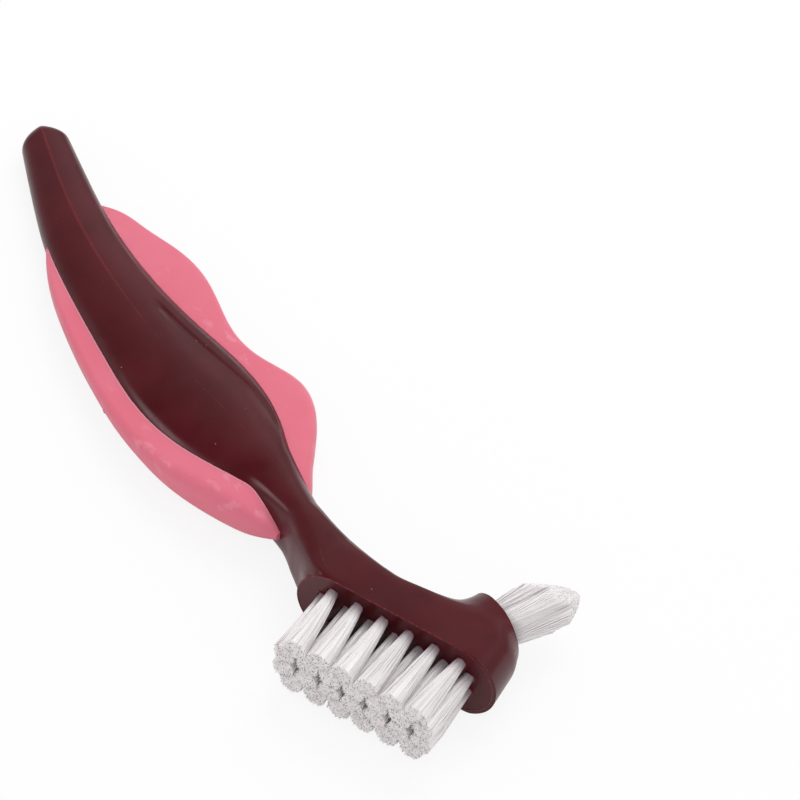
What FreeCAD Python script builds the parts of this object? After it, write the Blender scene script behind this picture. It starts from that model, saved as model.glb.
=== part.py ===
"""Denture brush lying on its side.

A hard plastic core (tail, bulged handle, neck and bristle head in one moulding) carries a soft
rubber grip with a wing along each side, a bristle field on the face of the head and a pointed
cluster of tufts on the raised end of the head. Every tuft is held in its hole by a flat staple.

The brush is drawn in its own plane first: X runs from tail to head, Y across, Z through the
thickness, with the origin at the centre of the bristle face. It is then laid down at rest.
"""
import FreeCAD, Part
import math
import os

os.makedirs("parts", exist_ok=True)
Vec = FreeCAD.Vector

# Core: outline of the handle and neck, seen from above, as (x, y) points
TAIL_END_X = -157.5
LOWER_SIDE = [(-150, 7.4), (-138, 2.6), (-124, -2.4), (-107, -6.4), (-90, -9.2), (-74, -11.2),
              (-61, -10.4), (-50, -8.0), (-40, -5.5), (-31, -4.4), (-24, -5.5), (-17, -6.3),
              (-11, -4.2), (-6, -2.2)]
RIDGE = [(-150, 12.9), (-138, 9.2), (-124, 5.7), (-107, 3.0), (-90, 1.6), (-74, 1.3),
         (-61, 1.9), (-50, 2.4), (-40, 1.6), (-31, 0.2), (-24, -1.6), (-17, -4.4),
         (-11, -3.4), (-6, -1.4)]
UPPER_SIDE = [(-150, 19.0), (-138, 16.2), (-124, 13.4), (-107, 11.9), (-90, 12.6), (-74, 14.3),
              (-61, 13.5), (-50, 10.4), (-40, 7.2), (-31, 5.1), (-24, 4.6), (-17, 5.4),
              (-11, 6.7), (-6, 8.4)]
TAIL_THICKNESS = 6.4
TAIL_ROUNDING = 5.0
TAIL_END_MIDDLE_Y = 15.4
ROUNDNESS = 2.3
NECK_X = -33.0
NECK_ROUNDNESS = 5.0
ROOF_SLOPE = 0.15

# Head: the bristle face is an obround, tilted in the plane of the brush
FACE_TILT = 23.0
FACE_WIDTH = 16.0
FACE_LENGTH = 43.0
HEAD_THICKNESS = 10.5
HEAD_DRAFT = 0.5
HEAD_BACK_ROUNDING = 3.5
END_DISC_X = 6.8
END_DISC_Y = 18.3
END_DISC_DIAMETER = 14.4

# Flare from the back of the head to the end disc: left point, right point, width, roundness
HEAD_FLARE = [
    ((-9.6, 7.0), (-5.8, -2.0), 14.4, 4.0),
    ((-5.4, 8.8), (2.6, 1.4), 14.6, 3.4),
    ((-2.4, 11.3), (11.5, 7.0), 14.6, 2.6),
    ((-1.0, 14.6), (15.2, 13.6), 14.4, 2.2),
    ((-0.3, 18.3), (13.9, 18.3), 14.2, 2.0),
]

# Rubber grip: outlines of the two wings and their thickness
LOWER_WING = [(-132, 2.5), (-127, -0.6), (-119, -5.1), (-110, -8.7), (-101, -11.2), (-92, -13.2),
              (-83, -14.7), (-74, -15.7), (-65, -15.7), (-57, -14.8), (-50, -12.8), (-43, -10.1),
              (-37, -6.6), (-33, -3.2)]
UPPER_WING = [(-132, 13.0), (-127, 16.6), (-119, 18.9), (-110, 21.2), (-101, 21.8), (-92, 20.0),
              (-83, 18.1), (-74, 19.0), (-65, 21.7), (-57, 20.2), (-50, 15.9), (-43, 10.4),
              (-37, 6.2), (-33, 2.6)]
WING_THICKNESS = [1.6, 2.4, 3.0, 3.4, 3.5, 3.6, 3.8, 4.3, 5.2, 6.6, 8.0, 8.0, 5.4, 2.0]
WING_EDGE_ROUNDING = 0.7
GRIP_KEY_DEPTH = 2.4
WEB_START_X = -140.0
WEB_END_X = -22.0
BRIDGE_XS = [-104, -88, -72, -58]
BRIDGE_LENGTH = 9.0
BRIDGE_HEIGHT = 2.2

# Tufts: four rows on the bristle face and one cluster on the end disc
HOLE_DIAMETER = 2.1
HOLE_DEPTH = 4.0
TUFT_CLEARANCE = 0.02
TUFT_LENGTH = 16.0
TUFT_SPREAD = 0.6
TUFT_LEAN = 0.06
OUTER_ROW_COUNT = 6
OUTER_ROW_PITCH = 5.65
OUTER_ROW_OFFSET = 4.7
INNER_ROW_COUNT = 7
INNER_ROW_PITCH = 5.4
INNER_ROW_OFFSET = 1.95
POINT_PITCH = 3.3
POINT_TUFT_REACH = 18.9
POINT_TUFT_SPREAD = 0.45
POINT_CUT_SLOPE = 1.3
POINT_CUT_SHIFT = 1.4

# Staples: flat wire pressed across the bottom of each hole
STAPLE_BITE = 0.2
STAPLE_HEIGHT = 1.4
STAPLE_THICKNESS = 0.3
STAPLE_FLOOR = 0.6

# Sizes worked out from the driving ones
FACE_RADIUS = FACE_WIDTH / 2
FACE_ARC = FACE_LENGTH / 2 - FACE_RADIUS
TILT = math.radians(FACE_TILT)
ALONG_FACE = Vec(math.cos(TILT), math.sin(TILT), 0)
INTO_HEAD = Vec(-math.sin(TILT), math.cos(TILT), 0)
UP = Vec(0, 0, 1)
ACROSS = Vec(0, 1, 0)
HEAD_LEFT_X = -(FACE_ARC + FACE_RADIUS) * math.cos(TILT)
TUFT_RADIUS = HOLE_DIAMETER / 2 - TUFT_CLEARANCE


def thickness_at(x):
    """Thickness of the core, a straight taper from the tail to the head."""
    share = min((x - TAIL_END_X) / (HEAD_LEFT_X - TAIL_END_X), 1.0)
    return TAIL_THICKNESS + share * (FACE_WIDTH - 2 * HEAD_DRAFT - TAIL_THICKNESS)


def roundness_at(x):
    """How square the section is: nearly round on the handle, squarer towards the head."""
    share = (x - NECK_X) / (HEAD_LEFT_X - NECK_X)
    return ROUNDNESS + min(max(share, 0.0), 1.0) * (NECK_ROUNDNESS - ROUNDNESS)


def half_section(x, side_y, ridge_y, half_thickness):
    """Curve from the lower ridge round one side to the upper ridge, in the plane X = x."""
    steps = 6
    power = 2 / roundness_at(x)
    quarter = []
    for step in range(steps + 1):
        angle = 0.5 * math.pi * step / steps
        out = math.sin(angle) ** power
        rise = math.cos(angle) ** power if step < steps else 0.0
        roof = 1 - ROOF_SLOPE * out * (1 - out)
        quarter.append((ridge_y + (side_y - ridge_y) * out, half_thickness * rise * roof))
    points = [Vec(x, y, -z) for y, z in quarter]
    points += [Vec(x, y, z) for y, z in reversed(quarter[:-1])]
    curve = Part.BSplineCurve()
    curve.interpolate(points)
    return curve.toShape()


def core_section(x, low_y, ridge_y, high_y, half_thickness):
    """Closed section of the core with a ridge on top and one underneath."""
    low_edge = half_section(x, low_y, ridge_y, half_thickness)
    high_edge = half_section(x, high_y, ridge_y, half_thickness)
    return Part.Wire([low_edge, high_edge])


def tail_sections():
    """Sections that close the tail in a blunt, rounded end."""
    low_y, ridge_y, high_y = LOWER_SIDE[0][1], RIDGE[0][1], UPPER_SIDE[0][1]
    slopes = [(side[1][1] - side[0][1]) / (side[1][0] - side[0][0])
              for side in (LOWER_SIDE, RIDGE, UPPER_SIDE)]
    sections = []
    for share in (0.02, 0.12, 0.35, 0.7, 1.0):
        x = TAIL_END_X + share * TAIL_ROUNDING
        size = math.sqrt(1 - (1 - share) ** 2)
        ends = [y + slope * (x - LOWER_SIDE[0][0])
                for y, slope in zip((low_y, ridge_y, high_y), slopes)]
        ends = [TAIL_END_MIDDLE_Y + size * (y - TAIL_END_MIDDLE_Y) for y in ends]
        half_thickness = 0.5 * thickness_at(x) * (0.15 + 0.85 * size)
        sections.append(core_section(x, ends[0], ends[1], ends[2], half_thickness))
    return sections


def make_handle():
    """Tail, bulged handle and neck as one smooth loft that ends inside the head."""
    sections = tail_sections()
    for low, ridge, high in zip(LOWER_SIDE, RIDGE, UPPER_SIDE):
        x = low[0]
        sections.append(core_section(x, low[1], ridge[1], high[1], 0.5 * thickness_at(x)))
    return Part.makeLoft(sections, True, False)


def on_face(along, up, depth=0.0):
    """A point given by its place on the bristle face and its depth into the head."""
    return ALONG_FACE * along + INTO_HEAD * depth + UP * up


def face_outline(radius, depth):
    """Obround parallel to the bristle face, as a wire."""
    left_low = on_face(-FACE_ARC, -radius, depth)
    left_mid = on_face(-FACE_ARC - radius, 0, depth)
    left_top = on_face(-FACE_ARC, radius, depth)
    right_top = on_face(FACE_ARC, radius, depth)
    right_mid = on_face(FACE_ARC + radius, 0, depth)
    right_low = on_face(FACE_ARC, -radius, depth)
    edges = [
        Part.Arc(left_low, left_mid, left_top).toShape(),
        Part.LineSegment(left_top, right_top).toShape(),
        Part.Arc(right_top, right_mid, right_low).toShape(),
        Part.LineSegment(right_low, left_low).toShape(),
    ]
    return Part.Wire(edges)


def make_head_block():
    """The obround block that carries the bristle face, drafted and rounded at the back."""
    front = face_outline(FACE_RADIUS, 0)
    back = face_outline(FACE_RADIUS - HEAD_DRAFT, HEAD_THICKNESS)
    block = Part.makeLoft([front, back], True, True)
    back_edges = [edge for edge in block.Edges
                  if all(abs(v.Point.dot(INTO_HEAD) - HEAD_THICKNESS) < 0.01
                         for v in edge.Vertexes)]
    return block.makeFillet(HEAD_BACK_ROUNDING, back_edges)


def make_head_end():
    """The raised end of the head: it leans from the end of the face to the round end disc."""
    foot = Part.Circle(on_face(FACE_ARC, 0), INTO_HEAD, FACE_RADIUS)
    foot.XAxis = ALONG_FACE
    disc = Part.Circle(Vec(END_DISC_X, END_DISC_Y, 0), ACROSS, END_DISC_DIAMETER / 2)
    disc.XAxis = Vec(1, 0, 0)
    wires = [Part.Wire([foot.toShape()]), Part.Wire([disc.toShape()])]
    return Part.makeLoft(wires, True, True)


def flare_section(left, right, width, roundness):
    """Closed oval from the left point to the right point, as wide as the head through Z."""
    steps = 8
    left, right = Vec(left[0], left[1], 0), Vec(right[0], right[1], 0)
    middle, reach = (left + right) / 2, (right - left) / 2
    halves = []
    for side in (1, -1):
        points = [middle + reach * side]
        for step in range(1, steps):
            angle = math.pi * step / steps
            along = math.copysign(abs(math.cos(angle)) ** (2 / roundness), math.cos(angle))
            up = math.sin(angle) ** (2 / roundness)
            points.append(middle + reach * (side * along) + UP * (side * up * width / 2))
        points.append(middle - reach * side)
        curve = Part.BSplineCurve()
        curve.interpolate(points)
        halves.append(curve.toShape())
    return Part.Wire(halves)


def make_head_flare():
    """The hollow curve that leads from the back of the head up to the end disc."""
    return Part.makeLoft([flare_section(*section) for section in HEAD_FLARE], True, False)


def main_tuft_places():
    """Where the main tufts stand: (row, number, along the face, up), row 1 at the top."""
    rows = [
        (OUTER_ROW_COUNT, OUTER_ROW_PITCH, OUTER_ROW_OFFSET),
        (INNER_ROW_COUNT, INNER_ROW_PITCH, INNER_ROW_OFFSET),
        (INNER_ROW_COUNT, INNER_ROW_PITCH, -INNER_ROW_OFFSET),
        (OUTER_ROW_COUNT, OUTER_ROW_PITCH, -OUTER_ROW_OFFSET),
    ]
    places = []
    for row, (count, pitch, up) in enumerate(rows, start=1):
        for number in range(count):
            along = (number - (count - 1) / 2) * pitch
            places.append((row, number + 1, along, up))
    return places


def point_tuft_places():
    """Where the tufts of the point brush stand on the end disc: one in the middle, six round it."""
    centre = Vec(END_DISC_X, END_DISC_Y, 0)
    places = [centre]
    for number in range(6):
        angle = math.radians(60 * number)
        places.append(centre + Vec(math.cos(angle), 0, math.sin(angle)) * POINT_PITCH)
    return places


def make_staple(mouth, outward, across):
    """Flat staple across the bottom of the hole that opens at mouth."""
    width = HOLE_DIAMETER + 2 * STAPLE_BITE
    third = outward.cross(across)
    corner = (mouth - outward * (HOLE_DEPTH - STAPLE_FLOOR)
              - across * (width / 2) - third * (STAPLE_THICKNESS / 2))
    base = Part.makePolygon([
        corner,
        corner + across * width,
        corner + across * width + third * STAPLE_THICKNESS,
        corner + third * STAPLE_THICKNESS,
        corner,
    ])
    return Part.Face(base).extrude(outward * STAPLE_HEIGHT)


def circle_wire(centre, normal, radius):
    """Circle as a wire, for a loft."""
    circle = Part.Circle(centre, normal, radius)
    circle.XAxis = UP
    return Part.Wire([circle.toShape()])


def tuft_root(mouth, outward):
    """The straight part of a bundle of filaments, down in its hole."""
    return Part.makeCylinder(TUFT_RADIUS, HOLE_DEPTH, mouth - outward * HOLE_DEPTH, outward)


def make_main_tuft(mouth, outward, tip):
    """A tuft of the bristle field: it opens and leans towards its flat cut tip."""
    foot = circle_wire(mouth, outward, TUFT_RADIUS)
    end = circle_wire(tip, outward, TUFT_RADIUS + TUFT_SPREAD)
    return tuft_root(mouth, outward).fuse(Part.makeLoft([foot, end], True, True))


def make_point_tuft(mouth):
    """A tuft of the point brush, cut off aslant so that the cluster runs to one point."""
    free = Part.makeCone(TUFT_RADIUS, TUFT_RADIUS + POINT_TUFT_SPREAD, POINT_TUFT_REACH,
                         mouth, ACROSS)
    peak = Vec(END_DISC_X + POINT_CUT_SHIFT, END_DISC_Y + POINT_TUFT_REACH, 0)
    away = Vec(mouth.x - peak.x, 0, mouth.z)
    slope = POINT_CUT_SLOPE * away.normalize()
    normal = (ACROSS + slope).normalize()
    level = slope.cross(ACROSS).normalize()
    fall = normal.cross(level)
    size = POINT_TUFT_REACH
    corner = peak - level * size - fall * size
    base = Part.makePolygon([
        corner,
        corner + level * (2 * size),
        corner + level * (2 * size) + fall * (2 * size),
        corner + fall * (2 * size),
        corner,
    ])
    waste = Part.Face(base).extrude(normal * size)
    return tuft_root(mouth, ACROSS).fuse(free.cut(waste))


def wing_section(x, low_y, high_y, half_thickness):
    """Closed section of the rubber slab in the plane X = x, with rounded corners."""
    round_by = WING_EDGE_ROUNDING * half_thickness
    bend = round_by * (1 - math.sqrt(0.5))
    flat = half_thickness - round_by
    corners = [(high_y, 1, 1), (low_y, -1, 1), (low_y, -1, -1), (high_y, 1, -1)]
    edges = []
    last = None
    first = None
    for y, out, up in corners:
        on_top = Vec(x, y - out * round_by, up * half_thickness)
        middle = Vec(x, y - out * bend, up * (half_thickness - bend))
        on_side = Vec(x, y, up * flat)
        start, end = (on_side, on_top) if out * up > 0 else (on_top, on_side)
        if last is not None:
            edges.append(Part.LineSegment(last, start).toShape())
        edges.append(Part.Arc(start, middle, end).toShape())
        first = first or start
        last = end
    edges.append(Part.LineSegment(last, first).toShape())
    return Part.Wire(edges)


def make_wing_slab():
    """The rubber slab whose two edges are the wings."""
    sections = []
    for low, high, thickness in zip(LOWER_WING, UPPER_WING, WING_THICKNESS):
        sections.append(wing_section(low[0], low[1], high[1], thickness / 2))
    return Part.makeLoft(sections, True, False)


def smooth_edge(points):
    """Smooth curve in the middle plane through (x, y) points."""
    curve = Part.BSplineCurve()
    curve.interpolate([Vec(x, y, -FACE_WIDTH / 2) for x, y in points])
    return curve.toShape()


def make_web():
    """The middle of the core that the rubber doesn't fill, between the two key grooves."""
    low = [(x, y + GRIP_KEY_DEPTH) for x, y in LOWER_SIDE if WEB_START_X <= x <= WEB_END_X]
    high = [(x, y - GRIP_KEY_DEPTH) for x, y in UPPER_SIDE if WEB_START_X <= x <= WEB_END_X]
    low_edge = smooth_edge(low)
    high_edge = smooth_edge(high)
    ends = []
    for index in (0, -1):
        start = Vec(low[index][0], low[index][1], -FACE_WIDTH / 2)
        end = Vec(high[index][0], high[index][1], -FACE_WIDTH / 2)
        ends.append(Part.LineSegment(start, end).toShape())
    outline = Part.Wire(Part.__sortEdges__([low_edge, ends[1], high_edge, ends[0]]))
    return Part.Face(outline).extrude(UP * FACE_WIDTH)


def y_on(points, x):
    """Height of an outline at x, straight between its points."""
    for (x0, y0), (x1, y1) in zip(points, points[1:]):
        if x0 <= x <= x1:
            return y0 + (y1 - y0) * (x - x0) / (x1 - x0)
    raise ValueError("x lies outside the outline")


def make_grip():
    """Both wings, joined through the windows of the core."""
    wings = make_wing_slab().cut(make_web())
    for x in BRIDGE_XS:
        low_y = y_on(LOWER_SIDE, x) + GRIP_KEY_DEPTH / 2
        high_y = y_on(UPPER_SIDE, x) - GRIP_KEY_DEPTH / 2
        corner = Vec(x - BRIDGE_LENGTH / 2, low_y, -BRIDGE_HEIGHT / 2)
        bridge = Part.makeBox(BRIDGE_LENGTH, high_y - low_y, BRIDGE_HEIGHT, corner)
        wings = wings.fuse(bridge)
    return wings.removeSplitter()


def below_face():
    """Everything in front of the bristle face, to trim the neck off flush."""
    size = FACE_LENGTH
    corner = on_face(-size, -size, -size)
    base = Part.makePolygon([
        corner,
        corner + ALONG_FACE * (2 * size),
        corner + ALONG_FACE * (2 * size) + UP * (2 * size),
        corner + UP * (2 * size),
        corner,
    ])
    return Part.Face(base).extrude(INTO_HEAD * size)


def make_core(grip, holes, staples):
    """The hard moulding, with its holes, staple bites and the seat of the grip."""
    head = make_head_block().fuse([make_head_end(), make_head_flare()])
    core = make_handle().cut(below_face()).fuse(head).removeSplitter()
    for tool in holes + staples:
        core = core.cut(tool)
    return core.cut(grip)


def lay_down(shape):
    """Turn a shape from the brush's own plane to the attitude in which it rests."""
    rested = shape.copy()
    rested.rotate(Vec(0, 0, 0), ACROSS, -REST_ANGLE)
    return rested


def main():
    grip = make_grip()
    outward_main = INTO_HEAD * -1
    names, tufts, holes, main_staples, point_staples = [], [], [], [], []
    for row, number, along, up in main_tuft_places():
        mouth = on_face(along, up)
        staple = make_staple(mouth, outward_main, ALONG_FACE)
        lean = TUFT_LEAN * (1 - along / FACE_ARC)
        tip = mouth + (outward_main + ALONG_FACE * lean) * TUFT_LENGTH
        names.append("tuft_row%d_%d" % (row, number))
        tufts.append(make_main_tuft(mouth, outward_main, tip).cut(staple))
        holes.append(Part.makeCylinder(HOLE_DIAMETER / 2, HOLE_DEPTH, mouth, INTO_HEAD))
        main_staples.append(staple)
    for number, mouth in enumerate(point_tuft_places(), start=1):
        staple = make_staple(mouth, ACROSS, Vec(1, 0, 0))
        names.append("point_tuft_%d" % number)
        tufts.append(make_point_tuft(mouth).cut(staple))
        holes.append(Part.makeCylinder(HOLE_DIAMETER / 2, HOLE_DEPTH, mouth, ACROSS * -1))
        point_staples.append(staple)
    core = make_core(grip, holes, main_staples + point_staples)
    pieces = {"handle_core": core, "rubber_grip": grip}
    pieces.update(zip(names, tufts))
    pieces["main_anchors"] = Part.makeCompound(main_staples)
    pieces["point_anchors"] = Part.makeCompound(point_staples)
    return pieces


REST_ANGLE = math.degrees(math.atan2(FACE_WIDTH - TAIL_THICKNESS, -2 * TAIL_END_X))
pieces = {name: lay_down(shape) for name, shape in main().items()}
bounds = FreeCAD.BoundBox()
for shape in pieces.values():
    bounds.add(shape.optimalBoundingBox(False))
to_origin = Vec(-bounds.Center.x, -bounds.Center.y, -bounds.ZMin)
for name, shape in pieces.items():
    shape.translate(to_origin)
    shape.exportStep("parts/%s.step" % name)
    print(name, "solids", len(shape.Solids), "volume", round(shape.Volume, 2), shape.isValid())
print("size", round(bounds.XLength, 2), round(bounds.YLength, 2), round(bounds.ZLength, 2))
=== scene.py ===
"""Looks of the denture brush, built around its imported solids.

Sizes are in millimetres in the brush's own plane: X runs from tail to head, Y across, Z through
the thickness, with the origin at the centre of the bristle face. laid() turns such a place into
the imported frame, in metres, in which the brush lies on its side.
"""
import math

import bpy
import numpy as np
from mathutils import Matrix, Quaternion, Vector


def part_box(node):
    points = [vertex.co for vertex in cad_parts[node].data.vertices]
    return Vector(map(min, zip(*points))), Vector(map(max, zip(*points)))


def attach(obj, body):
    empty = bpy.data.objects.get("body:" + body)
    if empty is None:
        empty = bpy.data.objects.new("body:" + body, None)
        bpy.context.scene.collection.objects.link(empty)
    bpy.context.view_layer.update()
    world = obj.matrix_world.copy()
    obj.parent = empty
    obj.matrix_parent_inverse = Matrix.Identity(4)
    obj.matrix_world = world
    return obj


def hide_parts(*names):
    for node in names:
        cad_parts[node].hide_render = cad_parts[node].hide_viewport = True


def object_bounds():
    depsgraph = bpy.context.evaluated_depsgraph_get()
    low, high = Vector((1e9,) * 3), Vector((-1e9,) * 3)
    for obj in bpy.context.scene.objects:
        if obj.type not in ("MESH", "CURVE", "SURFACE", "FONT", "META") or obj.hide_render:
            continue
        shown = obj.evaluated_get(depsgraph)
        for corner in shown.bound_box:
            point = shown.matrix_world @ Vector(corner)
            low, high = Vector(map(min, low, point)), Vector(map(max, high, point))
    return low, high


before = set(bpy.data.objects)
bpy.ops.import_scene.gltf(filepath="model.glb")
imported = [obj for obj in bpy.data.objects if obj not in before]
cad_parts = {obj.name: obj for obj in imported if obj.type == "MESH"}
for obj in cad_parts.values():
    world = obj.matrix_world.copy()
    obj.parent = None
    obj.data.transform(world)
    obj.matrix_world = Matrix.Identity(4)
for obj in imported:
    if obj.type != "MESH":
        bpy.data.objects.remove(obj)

CAD_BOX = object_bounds()
MM = 0.001

# Core outline, seen from above
TAIL_END_X = -157.5
LOWER_SIDE = [(-150, 7.4), (-138, 2.6), (-124, -2.4), (-107, -6.4), (-90, -9.2), (-74, -11.2),
              (-61, -10.4), (-50, -8.0), (-40, -5.5), (-31, -4.4), (-24, -5.5), (-17, -6.3),
              (-11, -4.2), (-6, -2.2)]
RIDGE = [(-150, 12.9), (-138, 9.2), (-124, 5.7), (-107, 3.0), (-90, 1.6), (-74, 1.3),
         (-61, 1.9), (-50, 2.4), (-40, 1.6), (-31, 0.2), (-24, -1.6), (-17, -4.4),
         (-11, -3.4), (-6, -1.4)]
UPPER_SIDE = [(-150, 19.0), (-138, 16.2), (-124, 13.4), (-107, 11.9), (-90, 12.6), (-74, 14.3),
              (-61, 13.5), (-50, 10.4), (-40, 7.2), (-31, 5.1), (-24, 4.6), (-17, 5.4),
              (-11, 6.7), (-6, 8.4)]
TAIL_THICKNESS = 6.4
TAIL_EDGE = 2.4
TAIL_SETBACK = 0.1
TAIL_RIDGE_ROUNDING = 0.6
BULGE_START_X = -125
BULGE_RUN = 30
ROUNDNESS = 2.3
NECK_X = -33.0
NECK_ROUNDNESS = 5.0
HANDLE_SINKING = 0.025
HANDLE_SINKING_X = -17
HANDLE_END_X = -6.0
# Below and above the ridge
TAIL_GABLE = (0.32, 0.66)
# At the tail and on the bulge
ROOF_SLOPE = (0.2, 0.15)
RIDGE_SOFTNESS = (0.05, 0.3)

# Head
FACE_TILT = math.radians(23.0)
FACE_RADIUS = 8.0
FACE_ARC = 13.5
HEAD_THICKNESS = 10.5
HEAD_DRAFT = 0.5
HEAD_BACK_ROUNDING = 3.5
END_DISC = (6.8, 18.3)
END_DISC_RADIUS = 7.2
FLARE_SINKING = 1.6
FLARE_SINKING_END = 1.3
# Left end, right end, width and roundness of the flare's sections, from the head to the disc
HEAD_FLARE = [
    ((-9.6, 7.0), (-5.8, -2.0), 14.4, 4.0),
    ((-5.4, 8.8), (2.6, 1.4), 14.6, 3.4),
    ((-2.4, 11.3), (11.5, 7.0), 14.6, 2.6),
    ((-1.0, 14.6), (15.2, 13.6), 14.4, 2.2),
    ((-0.3, 18.3), (13.9, 18.3), 14.2, 2.0),
]

# Moulded details of the core: a crease with a ledge beside the belly, the belly's end and a
# valley in the neck. A fade has a start, a rise, an end and a fall. A side of the crease has its
# width, its growth and the start and run of the growth. All of these run along X
CREASE = [(-98, 7.2), (-91, 7.6), (-83, 8.3), (-76, 9.2), (-70, 10.1), (-64, 10.6), (-59, 10.0),
          (-53, 8.5)]
CREASE_FADE = (-98, 5, -50, 12)
CREASE_DEPTH = 0.4
CREASE_BELLY_SIDE = (1.0, 1.8, -98, 22)
CREASE_WING_SIDE = (0.5, 0.4, -74, 18)
LEDGE_DEPTH = 0.32
LEDGE_STOP = 0.8
VALLEY = [(-50, -4.2), (-42, -3.8), (-36, -3.8), (-28, -4.3)]
VALLEY_FADE = (-49, 7, -27, 6)
VALLEY_WIDTH = 1.2
VALLEY_DEPTH = 0.7
BELLY_END_X = -47.0
BELLY_END_BEND = 0.09
BELLY_END_FADE = (3.5, -30, 12)
BELLY_DROP = 0.35

# How the back of the neck and head settles where the joined bodies would swell: how much, from
# where and over what run, then its growth and where that starts, and the band that settles
BACK_LINE = [(-31, 5.0), (-24, 4.6), (-17, 5.35), (-11, 6.85), (-6.5, 8.6), (-3.5, 10.6)]
BACK_SWELL = (0.5, -23, 9)
BACK_SWELL_GROWTH = (0.02, -10)
BACK_BAND = 2.5
BACK_TOP = (13, 4)
BACK_END_RUN = 4

# Joints between the bodies of the core, and its skin, with the spare that is cut off flat
JOIN_SOFTNESS = 3.0
END_SOFTNESS = 1.1
END_SETTLING = 0.11
FLARE_SOFTNESS = 3.0
SIDE_ROUNDING = 0.4
SKIN_SPARE = 0.8
SKIN_STEP = 0.42
SKIN_BOX = ((-159, -13.5, -8.6), (22, 20.5, 8.6))
SEAM_END_X = -14.5

# Rubber grip
LOWER_WING = [(-132, 2.5), (-127, -0.6), (-119, -5.1), (-110, -8.7), (-101, -11.2), (-92, -13.2),
              (-83, -14.7), (-74, -15.7), (-65, -15.7), (-57, -14.8), (-50, -12.8), (-43, -10.1),
              (-37, -7.3), (-33, -4.5)]
UPPER_WING = [(-132, 13.0), (-127, 16.6), (-119, 18.9), (-110, 21.2), (-101, 21.8), (-92, 20.0),
              (-83, 18.1), (-74, 19.0), (-65, 21.7), (-57, 20.2), (-50, 15.9), (-43, 10.4),
              (-37, 6.2), (-33, 2.6)]
WING_THICKNESS = [1.6, 2.4, 3.0, 3.4, 3.5, 3.6, 3.8, 4.3, 5.2, 6.6, 8.0, 8.0, 5.4, 2.0]
WING_EDGE_ROUNDING = 0.7
WING_STEPS = 180
WING_EDGE_STEPS = 7
GRIP_KEY_DEPTH = 2.4
WEB_XS = (-140.0, -22.0)
WEB_STEPS = 80
BRIDGE_XS = [-104, -88, -72, -58]
BRIDGE_LENGTH = 9.0
BRIDGE_HEIGHT = 2.2
LIP_RADIUS = 0.17
LIP_STEPS = 160
LIP_SEARCH_STEPS = 300
LIP_END_SHARE = 0.2
LIP_FADE_PARTS = 12
LIP_OFFSET = (0.5, 0.55)
GATE_PLACE = (-78.7, -0.5)
GATE_RADIUS = 0.55
GATE_RELIEF = 0.1
GATE_NIB_HEIGHT = 0.16
GATE_NIB_RADIUS = 0.24
GATE_SIDES = 24

# Tufts
HOLE_RADIUS = 1.05
HOLE_DEPTH = 4.0
ANCHOR_DEPTH = 2.7
FACE_EDGE_RADIUS = 0.11
FACE_EDGE_STEPS = 40
RIM_THICKNESS = (0.1, 0.08)
RIM_OFFSET = (0.12, 0.14)
RIM_RISE = 0.04
RIM_SIDES = 28
TUFT_LENGTH = 16.0
FIELD_TIP_RADIUS = 2.4
TUFT_LEAN = 0.06
LEAN_BOW = 0.12
# Number of tufts, pitch and distance from the middle of the face
OUTER_ROW = (6, 5.65, 4.7)
INNER_ROW = (7, 5.4, 1.95)
POINT_PITCH = 3.3
POINT_REACH = 18.9
POINT_TIP_RADIUS = 2.2
POINT_LEAN = 0.1
POINT_CUT_SLOPE = 0.55
POINT_CUT_BEND = 1.55
POINT_CUT_SHIFT = 1.4
FILAMENT_RADIUS = 0.1
FILAMENT_START = 2.0
FILAMENT_ROOT_SPREAD = 0.78
FILAMENT_STEPS = 4
FIELD_FILAMENTS = 230
FIELD_STRAY = 0.12
FIELD_UNEVEN = 0.02
POINT_FILAMENTS = 400
POINT_STRAY = 0.22
POINT_UNEVEN = 0.01
CUT_BEVEL = 0.006
CUT_TAPER = 0.45
GOLDEN_ANGLE = 2.39996
TURN_JITTER = 0.25
HEART_ROOT_RADIUS = 0.62
HEART_THINNER = 0.2
HEART_SHORTER = 0.36
HEART_SIDES = 22
# Root radius and tip radius of the wide heart that joins the point tufts
POINT_HEART = (3.4, 4.3)
# Inputs of the filament tree, by kind
FILAMENT_INPUTS = {
    "Int": ["Filaments", "Seed"],
    "Float": ["Root radius", "Tip radius", "Filament radius", "Reach", "Start depth", "Cut slope",
              "Cut bend", "Stray", "Uneven"],
    "Vector": ["Peak", "Box low", "Box high", "Outward", "First side", "Second side"],
}
# Share of the length and share of the radius of each ring
HEART_RINGS = [(-0.1, 1), (0, 1), (0.25, 1), (0.5, 1), (0.75, 1), (1, 1), (1, 0.6), (1, 0.25),
               (1, 0.05)]

# Camera: its place, what it looks at and its roll, in the brush's own plane
CAMERA_PLACE = (274.81, -233.41, 425.57)
CAMERA_AIM = (-51.551, 37.115, 0)
CAMERA_ROLL = math.radians(6.984)
CAMERA_LENS = 135

# Light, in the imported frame: the direction of the mirrored side light, the even strength of the
# surroundings, and the name, place, size and power of each lamp
SIDE_LIGHT = (-0.55, -0.72, 0.42)
EVEN_LIGHT = 0.64
LAMPS = [("far_lamp", (-0.25, 0.4, 0.65), 0.6, 3.0), ("near_lamp", (0.45, -0.3, 0.6), 0.7, 1.1)]

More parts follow.
